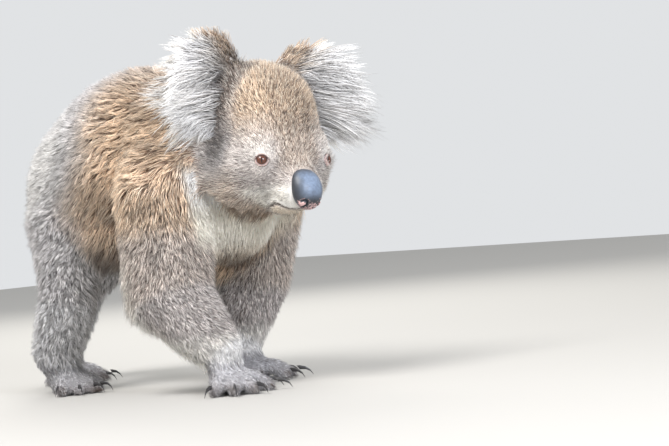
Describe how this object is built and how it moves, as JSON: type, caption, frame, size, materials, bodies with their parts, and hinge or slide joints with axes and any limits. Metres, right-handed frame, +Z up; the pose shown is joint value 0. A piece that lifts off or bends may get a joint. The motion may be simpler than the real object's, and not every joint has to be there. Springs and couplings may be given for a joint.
{
  "type": "koala",
  "caption": "Life-size still model of a koala walking on all fours, head turned slightly, standing on its four paws.",
  "frame": {"origin": "on the floor, under the middle of the bounding box", "axes": "+Z up, the animal walks and looks towards -Y, its left side is +X"},
  "size_m": [0.317, 0.549, 0.3959],
  "materials": {
    "koala_fur": "dense woolly grey-brown fur",
    "ear_fur": "long white fringe on grey-brown ear",
    "nose_skin": "dark fine-grained bare nose",
    "claw_horn": "dark horn, semi-gloss",
    "eye_surface": "wet brown eye"
  },
  "bodies": {
    "root": {"claw_foot_left_2": "claw_horn", "claw_foot_left_3": "claw_horn", "claw_foot_left_4": "claw_horn", "claw_foot_left_5": "claw_horn", "claw_foot_right_2": "claw_horn", "claw_foot_right_3": "claw_horn", "claw_foot_right_4": "claw_horn", "claw_foot_right_5": "claw_horn", "claw_hand_left_1": "claw_horn", "claw_hand_left_2": "claw_horn", "claw_hand_left_3": "claw_horn", "claw_hand_left_4": "claw_horn", "claw_hand_left_5": "claw_horn", "claw_hand_right_1": "claw_horn", "claw_hand_right_2": "claw_horn", "claw_hand_right_3": "claw_horn", "claw_hand_right_4": "claw_horn", "claw_hand_right_5": "claw_horn", "ear_left": "ear_fur", "ear_right": "ear_fur", "eye_left": "eye_surface", "eye_right": "eye_surface", "foot_left": "koala_fur", "foot_right": "koala_fur", "forearm_left": "koala_fur", "forearm_right": "koala_fur", "hand_left": "koala_fur", "hand_right": "koala_fur", "head": "koala_fur", "lower_jaw": "koala_fur", "neck": "koala_fur", "nose_leather": "nose_skin", "shank_left": "koala_fur", "shank_right": "koala_fur", "thigh_left": "koala_fur", "thigh_right": "koala_fur", "trunk": "koala_fur", "upper_arm_left": "koala_fur", "upper_arm_right": "koala_fur"}
  },
  "joints": []
}
